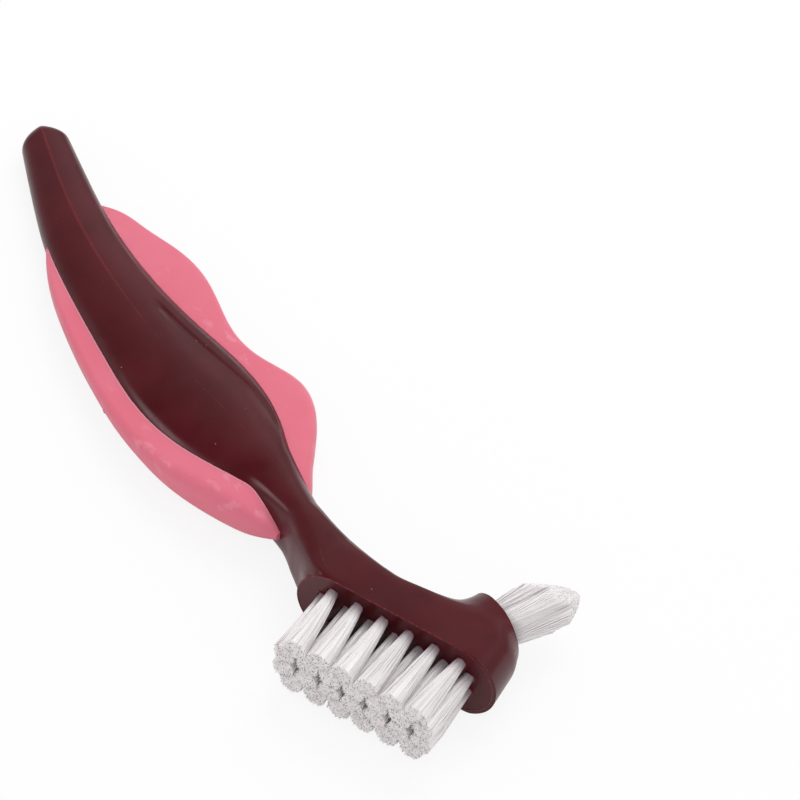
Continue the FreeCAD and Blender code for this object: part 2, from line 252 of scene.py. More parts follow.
# Colours, as linear values
WINE = (0.086, 0.0085, 0.0125, 1)
WINE_DEEP = (0.066, 0.0060, 0.0088, 1)
# Painted highlight colours: brighter red along the ridge and on the flash, paler red dashes on the
# parting line
WINE_HIGHLIGHT = (0.24, 0.02, 0.03, 1)
WINE_SEAM_HIGHLIGHT = (0.2, 0.07, 0.08, 1)
PINK = (0.76, 0.155, 0.228, 1)
PINK_PALE = (0.84, 0.31, 0.39, 1)
NYLON = (0.97, 0.935, 0.94, 1)
# Painted shade colours of the nylon: grey lines for the gaps between filaments, grey at the root
NYLON_GAP_SHADE = (0.5, 0.45, 0.47, 1)
NYLON_ROOT_SHADE = (0.36, 0.28, 0.32, 1)
NYLON_HEART = (0.96, 0.92, 0.925, 1)
NYLON_TIP = (0.2, 0.17, 0.17, 1)
STEEL = (0.5, 0.48, 0.43, 1)
STEEL_PALE = (0.62, 0.6, 0.55, 1)
DUST = (0.45, 0.3, 0.3, 1)
WHITE = (1, 1, 1, 1)
MIRRORED_WHITE = (1, 0.93, 0.95, 1)

ALONG_FACE = np.array([math.cos(FACE_TILT), math.sin(FACE_TILT), 0])
INTO_HEAD = np.array([-math.sin(FACE_TILT), math.cos(FACE_TILT), 0])
RIGHT, ACROSS, UP = np.eye(3)
HEAD_LEFT_X = -(FACE_ARC + FACE_RADIUS) * math.cos(FACE_TILT)
HEAD_START_X = HEAD_LEFT_X - 6
REST_ANGLE = math.atan2(2 * FACE_RADIUS - TAIL_THICKNESS, -2 * TAIL_END_X)

LAY_DOWN = Matrix.Rotation(-REST_ANGLE, 4, "Y") @ Matrix.Scale(MM, 4)
anchors_low, anchors_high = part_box("main_anchors")
anchors_middle = (anchors_low + anchors_high) / 2
anchors_drawn = Vector(INTO_HEAD * ANCHOR_DEPTH)
LAY_DOWN = Matrix.Translation(anchors_middle - LAY_DOWN @ anchors_drawn) @ LAY_DOWN
TURN = np.array(LAY_DOWN.to_3x3())
SHIFT = np.array(LAY_DOWN.translation)


def laid(points):
    """Places in the brush's own plane, in mm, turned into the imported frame, in metres."""
    return np.asarray(points, float) @ TURN.T + SHIFT


def lifted(points):
    """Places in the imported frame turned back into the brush's own plane."""
    return (np.asarray(points, float) - SHIFT) @ np.linalg.inv(TURN).T


def curve_through(points):
    """Smooth curve y(x) through the points: a natural cubic spline, straight beyond its ends."""
    xs, ys = np.array(points, float).T
    gap = np.diff(xs)
    slope = np.diff(ys) / gap
    count = len(xs)
    system = np.eye(count)
    load = np.zeros(count)
    for i in range(1, count - 1):
        system[i, i - 1:i + 2] = gap[i - 1], 2 * (gap[i - 1] + gap[i]), gap[i]
        load[i] = 6 * (slope[i] - slope[i - 1])
    bend = np.linalg.solve(system, load)

    def height(x):
        """The curve's y at x."""
        inside = np.clip(x, xs[0], xs[-1])
        at = np.clip(np.searchsorted(xs, inside) - 1, 0, count - 2)
        step = inside - xs[at]
        width = gap[at]
        rate = slope[at] - width * (2 * bend[at] + bend[at + 1]) / 6
        twist = (bend[at + 1] - bend[at]) / width
        value = ys[at] + rate * step + bend[at] * step ** 2 / 2 + twist * step ** 3 / 6
        end_rate = rate + bend[at] * step + twist * step ** 2 / 2
        return value + end_rate * (x - inside)

    return height


lower_side = curve_through(LOWER_SIDE)
ridge_line = curve_through(RIDGE)
upper_side = curve_through(UPPER_SIDE)
crease_line = curve_through(CREASE)
valley_line = curve_through(VALLEY)
back_line = curve_through(BACK_LINE)
lower_wing = curve_through(LOWER_WING)
upper_wing = curve_through(UPPER_WING)
wing_thickness = curve_through([(x, thick) for (x, _), thick in zip(LOWER_WING, WING_THICKNESS)])


def soft_step(value):
    """Smooth rise from 0 to 1 as the value goes from 0 to 1."""
    value = np.clip(value, 0, 1)
    return value * value * (3 - 2 * value)


def blended(first, second, softness):
    """Union of two bodies with a soft hollow where they meet."""
    mixing = np.maximum(softness - np.abs(first - second), 0) / softness
    return np.minimum(first, second) - mixing * mixing * softness / 4


def rounded_corner(first, second, radius):
    """Overlap of two bodies with a rounded edge."""
    first, second = first + radius, second + radius
    inner = np.minimum(np.maximum(first, second), 0)
    return inner + np.hypot(np.maximum(first, 0), np.maximum(second, 0)) - radius


def half_thickness(x):
    """Half the thickness of the core along the ridge, from the tail to the head."""
    share = np.minimum((x - TAIL_END_X) / (HEAD_LEFT_X - TAIL_END_X), 1)
    return (TAIL_THICKNESS + share * (2 * (FACE_RADIUS - HEAD_DRAFT) - TAIL_THICKNESS)) / 2


def oval_distance(reach, size):
    """Distance from a body whose outline lies where size is 1, along the line from its middle."""
    return np.maximum(reach, 1e-3) * (1 - 1 / np.maximum(size, 1e-4))


def handle_body(x, y, z):
    """Tail, bulged handle and neck: negative inside, positive outside."""
    share = np.clip((x - NECK_X) / (HEAD_LEFT_X - NECK_X), 0, 1)
    power = ROUNDNESS + share * (NECK_ROUNDNESS - ROUNDNESS)
    ridge = ridge_line(x)
    side = np.where(y > ridge, upper_side(x) - ridge, ridge - lower_side(x))
    out = np.abs(y - ridge) / side
    inner = np.minimum(out, 1)
    bulged = soft_step((x - BULGE_START_X) / BULGE_RUN)
    softness = RIDGE_SOFTNESS[0] + bulged * (RIDGE_SOFTNESS[1] - RIDGE_SOFTNESS[0])
    slope = ROOF_SLOPE[0] + bulged * (ROOF_SLOPE[1] - ROOF_SLOPE[0])
    soft_ridge = np.hypot(inner, softness) - softness
    roof = half_thickness(x) * (1 - slope * soft_ridge * (1 - inner))
    size = (out ** power + (np.abs(z) / roof) ** power) ** (1 / power)
    sinking = HANDLE_SINKING * np.maximum(x - HANDLE_SINKING_X, 0) ** 2
    body = np.maximum(oval_distance(np.hypot(y - ridge, z), size) + sinking, x - HANDLE_END_X)
    gable = np.where(y > ridge, TAIL_GABLE[1], TAIL_GABLE[0])
    off_ridge = np.hypot(y - ridge, TAIL_RIDGE_ROUNDING) - TAIL_RIDGE_ROUNDING
    tail_end = TAIL_END_X + TAIL_SETBACK + gable * off_ridge - x
    return rounded_corner(body, tail_end, TAIL_EDGE)


def on_face(x, y):
    """Place along the bristle face and depth into the head."""
    return x * ALONG_FACE[0] + y * ALONG_FACE[1], x * INTO_HEAD[0] + y * INTO_HEAD[1]


def block_body(x, y, z):
    """The obround block behind the bristle face."""
    along, deep = on_face(x, y)
    radius = FACE_RADIUS - HEAD_DRAFT * deep / HEAD_THICKNESS
    wall = np.hypot(np.maximum(np.abs(along) - FACE_ARC, 0), z) - radius
    return rounded_corner(wall, deep - HEAD_THICKNESS, HEAD_BACK_ROUNDING)


def end_body(x, y, z):
    """The straight lean from the round end of the face up to the end disc."""
    foot = FACE_ARC * ALONG_FACE
    foot_reach = FACE_RADIUS * ALONG_FACE
    rise = np.array(END_DISC) - foot[:2]
    change = np.array([END_DISC_RADIUS, 0]) - foot_reach[:2]
    px, py = x - foot[0], y - foot[1]
    # The section through a place lies at the share s of the way up where a s^2 + b s + c = 0
    a = rise[1] * change[0] - rise[0] * change[1]
    b = (px * change[1] - py * change[0]) - (rise[0] * foot_reach[1] - rise[1] * foot_reach[0])
    c = px * foot_reach[1] - py * foot_reach[0]
    root = np.sqrt(np.maximum(b * b - 4 * a * c, 0))
    share = np.clip(-2 * c / (b + np.copysign(root, b)), 0, 1.2)
    across_x = foot_reach[0] + share * change[0]
    across_y = foot_reach[1] + share * change[1]
    along = (px - share * rise[0]) * across_x + (py - share * rise[1]) * across_y
    length = np.hypot(across_x, across_y)
    along = along / length ** 2
    radius = FACE_RADIUS + share * (END_DISC_RADIUS - FACE_RADIUS)
    return oval_distance(np.hypot(along * length, z), np.hypot(along, z / radius))


def flare_curves():
    """The flare's left line, right line, width and roundness as smooth curves of its section."""
    columns = zip(*[(*left, *right, width, power) for left, right, width, power in HEAD_FLARE])
    return [curve_through(list(enumerate(column))) for column in columns]


FLARE = flare_curves()


def flare_body(x, y, z):
    """The hollow sweep from the back of the head to the end disc."""
    shares = np.linspace(0, len(HEAD_FLARE) - 1, 41)
    left_x, left_y, right_x, right_y = [curve(shares) for curve in FLARE[:4]]
    above = [(y - ly) * (rx - lx) - (x - lx) * (ry - ly)
             for lx, ly, rx, ry in zip(left_x, left_y, right_x, right_y)]
    above = np.stack(np.broadcast_arrays(*above))
    passed = np.clip((above > 0).sum(axis=0), 1, len(shares) - 1)
    here = np.take_along_axis(above, passed[None] - 1, axis=0)[0]
    ahead = np.take_along_axis(above, passed[None], axis=0)[0]
    part = np.clip(here / np.where(here == ahead, 1, here - ahead), 0, 1)
    share = shares[passed - 1] + part * (shares[1] - shares[0])
    lx, ly, rx, ry, width, power = [curve(share) for curve in FLARE]
    reach_x, reach_y = (rx - lx) / 2, (ry - ly) / 2
    length = np.hypot(reach_x, reach_y)
    along = ((x - (lx + rx) / 2) * reach_x + (y - (ly + ry) / 2) * reach_y) / length ** 2
    size = (np.abs(along) ** power + np.abs(2 * z / width) ** power) ** (1 / power)
    sinking = FLARE_SINKING * np.maximum(1 - share / FLARE_SINKING_END, 0) ** 2
    before = -above[0] / np.hypot(right_x[0] - left_x[0], right_y[0] - left_y[0])
    return np.maximum(oval_distance(np.hypot(along * length, z), size) + sinking, before)


def faded(x, start, rise, end, fall):
    """Share that rises from 0 at the start and falls back to 0 at the end."""
    return soft_step((x - start) / rise) * soft_step((end - x) / fall)


def widening(x, width, growth, start, run):
    """Width that grows smoothly from the start on."""
    return width + growth * soft_step((x - start) / run)


def moulded_details(x, y):
    """How far the surface sinks in at the crease, at the belly's end and in the neck valley."""
    beyond = y - crease_line(x)
    width = np.where(beyond < 0, widening(x, *CREASE_BELLY_SIDE), widening(x, *CREASE_WING_SIDE))
    groove = np.exp(-(beyond / width) ** 2)
    ledge_width = np.maximum(upper_side(x) - LEDGE_STOP - crease_line(x), 1)
    ledge = np.where(beyond < 0, groove, np.clip(1 - beyond / ledge_width, 0, 1))
    crease = faded(x, *CREASE_FADE) * (CREASE_DEPTH * groove + LEDGE_DEPTH * ledge)
    in_valley = np.exp(-((y - valley_line(x)) / VALLEY_WIDTH) ** 2)
    valley = VALLEY_DEPTH * faded(x, *VALLEY_FADE) * in_valley
    edge_x = BELLY_END_X - BELLY_END_BEND * (y - 1) ** 2
    drop = BELLY_DROP * faded(x, edge_x, *BELLY_END_FADE)
    return crease + valley + drop


def back_settling(x, y):
    """How far the back of the neck and head sinks in where the joined bodies would swell."""
    depth, start, run = BACK_SWELL
    growth, growth_start = BACK_SWELL_GROWTH
    top, fall = BACK_TOP
    swell = depth * soft_step((x - start) / run) + growth * np.maximum(x - growth_start, 0) ** 2
    near_back = soft_step((y - back_line(x) + BACK_BAND) / BACK_BAND) * soft_step((top - y) / fall)
    return swell * near_back * soft_step(-x / BACK_END_RUN)


def core_body(x, y, z):
    """The whole hard moulding before its face, disc, holes and grip seat are cut."""
    _, deep = on_face(x, y)
    handle = handle_body(x, y, z) + moulded_details(x, y)
    flare = blended(end_body(x, y, z), flare_body(x, y, z), END_SOFTNESS) + END_SETTLING
    head = blended(flare, block_body(x, y, z), FLARE_SOFTNESS)
    body = blended(handle, head, JOIN_SOFTNESS) + back_settling(x, y)
    side = np.abs(z) - (FACE_RADIUS - HEAD_DRAFT * np.clip(deep, 0, None) / HEAD_THICKNESS)
    body = rounded_corner(body, side, SIDE_ROUNDING)
    body = np.maximum(body, y - END_DISC[1] - SKIN_SPARE)
    return np.maximum(body, np.where(x < HEAD_START_X, -np.inf, -SKIN_SPARE - deep))


def skin_of(body, low, high, step):
    """Quads over the surface of a body: one point in each cell that the surface crosses."""
    axes = [np.arange(a, b + step, step) for a, b in zip(low, high)]
    value = body(*np.meshgrid(*axes, indexing="ij", sparse=True))
    value = np.broadcast_to(value, [len(axis) for axis in axes])
    inside = (value < 0).astype(int)
    cells = [len(axis) - 1 for axis in axes]
    total = np.zeros(cells + [3])
    hits = np.zeros(cells)
    quads = []
    for axis in range(3):
        change = np.diff(inside, axis=axis)
        spots = np.argwhere(change)
        turn = change[tuple(spots.T)]
        ahead = spots.copy()
        ahead[:, axis] += 1
        here_value = value[tuple(spots.T)]
        share = here_value / (here_value - value[tuple(ahead.T)])
        crossing = spots.astype(float)
        crossing[:, axis] += share
        side, other = (axis + 1) % 3, (axis + 2) % 3
        ring = []
        for back_side, back_other in ((1, 1), (0, 1), (0, 0), (1, 0)):
            cell = spots.copy()
            cell[:, side] -= back_side
            cell[:, other] -= back_other
            np.add.at(total, tuple(cell.T), crossing)
            np.add.at(hits, tuple(cell.T), 1)
            ring.append(np.ravel_multi_index(tuple(cell.T), cells))
        ring = np.stack(ring, axis=1)
        quads.append(np.where((turn > 0)[:, None], ring, ring[:, ::-1])[:, ::-1])
    quads = np.concatenate(quads)
    used, numbers = np.unique(quads, return_inverse=True)
    points = (total.reshape(-1, 3)[used] / hits.reshape(-1, 1)[used]) * step + np.array(low)
    return settled(body, points, step), numbers.reshape(quads.shape)


def settled(body, points, step):
    """Move each point along the body's slope until it lies on the surface."""
    nudge = 0.02
    for _ in range(4):
        value = body(*points.T)
        slope = np.stack([
            (body(*(points + nudge * axis).T) - body(*(points - nudge * axis).T)) / (2 * nudge)
            for axis in np.eye(3)
        ], axis=1)
        move = value / np.maximum((slope ** 2).sum(axis=1), 0.05)
        move = np.clip(move, -step / 2, step / 2)
        points = points - slope * move[:, None]
    return points


def make_object(name, points, faces):
    """Mesh object from places in the brush's own plane."""
    mesh = bpy.data.meshes.new(name)
    mesh.from_pydata(laid(points).tolist(), [], [list(map(int, face)) for face in faces])
    mesh.update()
    thing = bpy.data.objects.new(name, mesh)
    bpy.context.scene.collection.objects.link(thing)
    return thing


def stacked(parts):
    """Several (points, faces) parts as one."""
    points, faces, count = [], [], 0
    for part_points, part_faces in parts:
        points.append(np.asarray(part_points, float))
        faces += [[int(i) + count for i in face] for face in part_faces]
        count += len(part_points)
    return np.concatenate(points), faces


def tube_of_rings(rings, closed=False):
    """Quads that join rings of points, with flat ends unless the tube is closed on itself."""
    rings = np.asarray(rings, float)
    count, size = rings.shape[:2]
    faces = []
    for i in range(count if closed else count - 1):
        following = (i + 1) % count
        for j in range(size):
            side = (j + 1) % size
            faces.append([i * size + j, i * size + side, following * size + side,
                          following * size + j])
    if not closed:
        faces.append(list(range(size))[::-1])
        faces.append([(count - 1) * size + j for j in range(size)])
    return rings.reshape(-1, 3), faces


def box_part(corner, x_side, y_side, z_side):
    """Box from a corner and three sides that form a right-handed set."""
    corner, x_side, y_side = [np.asarray(side, float) for side in (corner, x_side, y_side)]
    ring = np.array([corner, corner + x_side, corner + x_side + y_side, corner + y_side])
    return tube_of_rings([ring, ring + z_side])


def bead(centre, radius, first, second, sides=8):
    """Small ring of points, the section of a fine raised line."""
    return [centre + radius * (math.cos(angle) * first + math.sin(angle) * second)
            for angle in np.linspace(0, 2 * math.pi, sides, endpoint=False)]


def rod_part(start, end, radius, sides=32):
    """Straight round rod."""
    start, end = np.asarray(start, float), np.asarray(end, float)
    axis = (end - start) / np.linalg.norm(end - start)
    first = np.cross(axis, UP if abs(axis[2]) < 0.9 else ACROSS)
    first /= np.linalg.norm(first)
    second = np.cross(axis, first)
    angles = np.linspace(0, 2 * math.pi, sides, endpoint=False)[:, None]
    ring = radius * (np.cos(angles) * first + np.sin(angles) * second)
    return tube_of_rings([start + ring, end + ring])


def combine(target, tool, operation):
    """Cut a tool out of the target, or join it on, and drop the tool."""
    modifier = target.modifiers.new("combine", "BOOLEAN")
    modifier.operation = operation
    modifier.solver = "MANIFOLD"
    modifier.object = tool
    graph = bpy.context.evaluated_depsgraph_get()
    made = bpy.data.meshes.new_from_object(target.evaluated_get(graph))
    target.modifiers.clear()
    target.data = made
    bpy.data.objects.remove(tool)


def smooth_between(thing, angle):
    """Smooth shading, with edges sharper than the angle kept crisp."""
    thing.data.shade_smooth()
    thing.data.set_sharp_from_angle(angle=math.radians(angle))


def kept_inside(points):
    """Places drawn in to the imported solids' own extent."""
    return lifted(np.clip(laid(points), np.array(CAD_BOX[0]), np.array(CAD_BOX[1])))


def finished(thing, material, slot, *nodes):
    """Give a piece its material, hang it on the root body and hide the solids it stands for."""
    thing.data.materials.clear()
    thing.data.materials.append(material)
    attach(thing, "root")
    if nodes:
        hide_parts(*nodes)


def fine_piece(name, parts, angle, material, slot):
    """A piece of fine detail, made of several closed parts, which stands for no solid."""
    piece = make_object(name, *stacked(parts))
    smooth_between(piece, angle)
    finished(piece, material, slot)


def main_tuft_mouths():
    """Mouths of the holes on the bristle face, with each tuft's place along the face."""
    mouths = []
    rows = [(OUTER_ROW, 1), (INNER_ROW, 1), (INNER_ROW, -1), (OUTER_ROW, -1)]
    for (count, pitch, up), side in rows:
        for i in range(count):
            along = (i - (count - 1) / 2) * pitch
            mouths.append((ALONG_FACE * along + UP * (up * side), along))
    return mouths


def point_tuft_mouths():
    """Mouths of the holes on the end disc: one in the middle, six round it."""
    centre = np.array([END_DISC[0], END_DISC[1], 0])
    angles = [math.radians(60 * i) for i in range(6)]
    ring = [centre + POINT_PITCH * (math.cos(a) * RIGHT + math.sin(a) * UP) for a in angles]
    return [centre] + ring


def slab_part():
    """The rubber slab: a rounded section swept along the handle."""
    rings = []
    quarter = np.linspace(0, math.pi / 2, WING_EDGE_STEPS)
    for x in np.linspace(LOWER_WING[0][0], LOWER_WING[-1][0], WING_STEPS):
        half = wing_thickness(x) / 2
        radius = WING_EDGE_ROUNDING * half
        ring = []
        for edge, out, up in ((upper_wing, 1, 1), (lower_wing, -1, 1), (lower_wing, -1, -1),
                              (upper_wing, 1, -1)):
            y = edge(x)
            for angle in quarter if out == up else quarter[::-1]:
                ring.append([x, y - out * radius * (1 - math.cos(angle)),
                             up * (half - radius * (1 - math.sin(angle)))])
        rings.append(ring)
    return tube_of_rings(rings)


def web_part():
    """The middle of the core, between the two key grooves, that the rubber doesn't fill."""
    top = FACE_RADIUS
    rings = []
    for x in np.linspace(*WEB_XS, WEB_STEPS):
        low, high = lower_side(x) + GRIP_KEY_DEPTH, upper_side(x) - GRIP_KEY_DEPTH
        rings.append([[x, low, -top], [x, high, -top], [x, high, top], [x, low, top]])
    return tube_of_rings(rings)


def bridge_parts():
    """The bars of rubber that join the wings through the core's windows."""
    bridges = []
    for x in BRIDGE_XS:
        low, high = lower_side(x) + GRIP_KEY_DEPTH / 2, upper_side(x) - GRIP_KEY_DEPTH / 2
        corner = (x - BRIDGE_LENGTH / 2, low, -BRIDGE_HEIGHT / 2)
        bridges.append(box_part(corner, (BRIDGE_LENGTH, 0, 0), (0, high - low, 0),
                                (0, 0, BRIDGE_HEIGHT)))
    return bridges


def lip_part(side, up):
    """The thin raised edge where a wing's face meets the core, fading out at both ends."""
    xs = np.linspace(LOWER_WING[0][0] + 1, LOWER_WING[-1][0] - 1, LIP_STEPS)
    level = wing_thickness(xs) / 2
    edge = upper_wing(xs) if side > 0 else lower_wing(xs)
    shares = np.linspace(0, 1, LIP_SEARCH_STEPS)[:, None]
    across = ridge_line(xs) + shares * (edge - ridge_line(xs))
    outside = core_body(*np.broadcast_arrays(xs, across, up * level)) > 0
    first = np.argmax(outside, axis=0)
    met = across[first, np.arange(len(xs))]
    shown = np.flatnonzero(outside.any(axis=0) & (np.abs(edge - met) > 1.2 * LIP_RADIUS))
    out, down = LIP_OFFSET
    rings = []
    for step, i in enumerate(shown):
        fade = min(1, LIP_FADE_PARTS * min(step, len(shown) - 1 - step) / len(shown))
        swell = LIP_END_SHARE + (1 - LIP_END_SHARE) * math.sin(0.5 * math.pi * fade)
        radius = LIP_RADIUS * swell
        centre = np.array([xs[i], met[i] + side * out * radius, up * (level[i] - down * radius)])
        rings.append(bead(centre, radius, ACROSS, UP))
    return tube_of_rings(rings)


def gate_parts():
    """The round mark of the moulding gate on the lower wing's wall: a ring with a nib in it."""
    x, z = GATE_PLACE
    wall = np.array([x, lower_wing(x), z])
    rings = []
    for angle in np.linspace(0, 2 * math.pi, GATE_SIDES, endpoint=False):
        radial = math.cos(angle) * RIGHT + math.sin(angle) * UP
        rings.append(bead(wall + radial * GATE_RADIUS, GATE_RELIEF, radial, ACROSS))
    nib = rod_part(wall + ACROSS * 0.5, wall - ACROSS * GATE_NIB_HEIGHT, GATE_NIB_RADIUS, 16)
    return [tube_of_rings(rings, closed=True), nib]


def make_grip():
    """Both rubber wings, joined through the core."""
    grip = make_object("grip_wings", *slab_part())
    combine(grip, make_object("web", *web_part()), "DIFFERENCE")
    combine(grip, make_object("bridges", *stacked(bridge_parts())), "UNION")
    return grip


def hole_parts():
    """The blind holes of all the tufts, as rods to cut with."""
    holes = [rod_part(mouth - INTO_HEAD, mouth + INTO_HEAD * HOLE_DEPTH, HOLE_RADIUS)
             for mouth, _ in main_tuft_mouths()]
    return holes + [rod_part(mouth + ACROSS, mouth - ACROSS * HOLE_DEPTH, HOLE_RADIUS)
                    for mouth in point_tuft_mouths()]


def make_core(grip):
    """The hard moulding: its skin, cut flat at the face and the disc, drilled and grooved."""
    points, quads = skin_of(core_body, *SKIN_BOX, SKIN_STEP)
    core = make_object("core_moulding", kept_inside(points), quads)
    reach = 60.0
    corner = -reach * (ALONG_FACE + INTO_HEAD + UP)
    face_waste = box_part(corner, 2 * reach * ALONG_FACE, reach * INTO_HEAD, 2 * reach * UP)
    neck_side = box_part((-reach * 3, -reach, -reach), (reach * 3 + HEAD_START_X, 0, 0),
                         (0, 2 * reach, 0), (0, 0, 2 * reach))
    face_tool = make_object("face_tool", *face_waste)
    combine(face_tool, make_object("neck_side", *neck_side), "DIFFERENCE")
    combine(core, face_tool, "DIFFERENCE")
    disc_waste = box_part((-reach, END_DISC[1], -reach), (2 * reach, 0, 0), (0, reach, 0),
                          (0, 0, 2 * reach))
    combine(core, make_object("disc_tool", *disc_waste), "DIFFERENCE")
    combine(core, make_object("hole_tool", *stacked(hole_parts())), "DIFFERENCE")
    seat = grip.copy()
    seat.data = grip.data.copy()
    bpy.context.scene.collection.objects.link(seat)
    combine(core, seat, "DIFFERENCE")
    return core


def store_seam(core):
    """Keep each point's distance from the parting line, in mm: far away past the line's end."""
    places = np.zeros(len(core.data.vertices) * 3)
    core.data.vertices.foreach_get("co", places)
    x, y, _ = lifted(places.reshape(-1, 3)).T
    seam = core.data.attributes.new("seam", "FLOAT", "POINT")
    seam.data.foreach_set("value", np.where(x > SEAM_END_X, 50, y - ridge_line(x)))


def face_edge_part():
    """The fine raised mould line round the bristle face."""
    rings = []
    for start, centre in ((-0.5 * math.pi, FACE_ARC), (0.5 * math.pi, -FACE_ARC)):
        for angle in start + np.linspace(0, math.pi, FACE_EDGE_STEPS):
            out = ALONG_FACE * math.cos(angle) + UP * math.sin(angle)
            place = ALONG_FACE * centre + out * (FACE_RADIUS - FACE_EDGE_RADIUS)
            rings.append(bead(place, FACE_EDGE_RADIUS, out, INTO_HEAD))
    return tube_of_rings(rings, closed=True)


def hole_rim_parts():
    """The rough rims that drilling leaves round the tuft holes."""
    rng = np.random.default_rng(7)
    rims = []
    places = [(mouth, -INTO_HEAD, ALONG_FACE) for mouth, _ in main_tuft_mouths()]
    for mouth, outward, first in places + [(m, ACROSS, -RIGHT) for m in point_tuft_mouths()]:
        swell = np.convolve(rng.normal(size=RIM_SIDES + 4), np.ones(3) / 3, "same")[2:-2]
        rings = []
        for i in range(RIM_SIDES):
            angle = 2 * math.pi * i / RIM_SIDES
            radial = math.cos(angle) * first + math.sin(angle) * UP
            thick = RIM_THICKNESS[0] + RIM_THICKNESS[1] * abs(swell[i])
            reach = HOLE_RADIUS + RIM_OFFSET[0] + RIM_OFFSET[1] * swell[i]
            centre = mouth + radial * reach + outward * RIM_RISE
            rings.append(bead(centre, thick, radial, -outward, 6))
        rims.append(tube_of_rings(rings, closed=True))
    return rims


def field_reach(place):
    """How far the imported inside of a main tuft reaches: the same at every place."""
    return TUFT_LENGTH - HEART_SHORTER


def point_reach(place):
    """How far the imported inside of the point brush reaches: less away from its peak."""
    away = math.hypot(place[0] - END_DISC[0] - POINT_CUT_SHIFT, place[2])
    return POINT_REACH - POINT_CUT_SLOPE * away ** POINT_CUT_BEND - HEART_SHORTER


def joined_point_reach(place):
    """The same for the wide heart that joins the point tufts."""
    return point_reach(place) - HEART_SHORTER


def tuft_heart(mouth, outward, first, second, radii, lean, reach, start=-0.1):
    """The closely packed inside of a tuft, which the loose filaments surround."""
    root_radius, tip_radius = radii
    rings = []
    for along, share in HEART_RINGS:
        along = max(along, start)
        radius = share * (root_radius + along * (tip_radius - root_radius))
        drift = lean * (along + 4 * LEAN_BOW * along * (1 - along))
        ring = []
        for angle in np.linspace(0, 2 * math.pi, HEART_SIDES, endpoint=False):
            radial = math.cos(angle) * first + math.sin(angle) * second
            tip_place = mouth + lean + radial * (share * tip_radius)
            ring.append(mouth + drift + radial * radius + outward * (along * reach(tip_place)))
        rings.append(ring)
    return tube_of_rings(rings)


def make_hearts(main_mouths, main_leans, point_mouths, point_leans):
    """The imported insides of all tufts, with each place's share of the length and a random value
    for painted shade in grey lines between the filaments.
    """
    field_radii = (HEART_ROOT_RADIUS, FIELD_TIP_RADIUS - HEART_THINNER)
    point_radii = (HEART_ROOT_RADIUS, POINT_TIP_RADIUS - HEART_THINNER)
    parts = [tuft_heart(mouth, -INTO_HEAD, ALONG_FACE, UP, field_radii, lean, field_reach)
             for (mouth, _), lean in zip(main_mouths, main_leans)]
    parts += [tuft_heart(mouth, ACROSS, -RIGHT, UP, point_radii, lean, point_reach)
              for mouth, lean in zip(point_mouths, point_leans)]
    parts.append(tuft_heart(point_mouths[0], ACROSS, -RIGHT, UP, POINT_HEART, np.zeros(3),
                            joined_point_reach, 0.01))
    points, faces = stacked(parts)
    hearts = make_object("tuft_hearts", kept_inside(points), faces)
    alongs = np.repeat([along for along, _ in HEART_RINGS], HEART_SIDES)
    rng = np.random.default_rng(5)
    # Random grey lines of painted shade for the gaps between filaments, one value for each side
    gap_shades = [np.tile(rng.uniform(size=HEART_SIDES), len(HEART_RINGS)) for _ in parts]
    kept = {"along": np.tile(alongs, len(parts)), "gap_shade": np.concatenate(gap_shades)}
    for name, values in kept.items():
        attribute = hearts.data.attributes.new(name, "FLOAT", "POINT")
        attribute.data.foreach_set("value", values.astype(float))
    return hearts


def node(tree, kind, inputs=(), **settings):
    """Add a node, with its settings and its inputs by name or number."""
    made = tree.nodes.new(kind)
    for key, value in settings.items():
        setattr(made, key, value)
    for key, value in dict(inputs).items():
        if isinstance(value, bpy.types.NodeSocket):
            tree.links.new(value, made.inputs[key])
        else:
            made.inputs[key].default_value = value
    return made


def vector_step(tree, operation, *values):
    """One step of vector arithmetic in a node tree."""
    return node(tree, "ShaderNodeVectorMath", dict(enumerate(values)), operation=operation)


def vector_sum(tree, *terms):
    """Sum of vectors in a node tree."""
    total = terms[0]
    for term in terms[1:]:
        total = vector_step(tree, "ADD", total, term).outputs[0]
    return total


def scaled(tree, vector, amount):
    """A vector times a number in a node tree."""
    return node(tree, "ShaderNodeVectorMath", {0: vector, "Scale": amount},
                operation="SCALE").outputs[0]


def number(tree, operation, *values):
    """One step of arithmetic in a node tree."""
    return node(tree, "ShaderNodeMath", dict(enumerate(values)), operation=operation).outputs[0]


def times(tree, *factors):
    """Product of numbers in a node tree."""
    product = factors[0]
    for factor in factors[1:]:
        product = number(tree, "MULTIPLY", product, factor)
    return product


def less(tree, whole, part):
    """Difference of two numbers in a node tree."""
    return number(tree, "SUBTRACT", whole, part)


def stored(tree, geometry, name, value, kind="FLOAT"):
    """Geometry with a value kept on its points under a name."""
    made = node(tree, "GeometryNodeStoreNamedAttribute", {"Geometry": geometry, "Name": name},
                data_type=kind, domain="POINT")
    socket = [s for s in made.inputs if s.name == "Value" and s.enabled][0]
    tree.links.new(value, socket)
    return made.outputs[0]


def recalled(tree, name):
    """The vector that is kept on the points under a name."""
    return node(tree, "GeometryNodeInputNamedAttribute", {"Name": name},
                data_type="FLOAT_VECTOR").outputs[0]


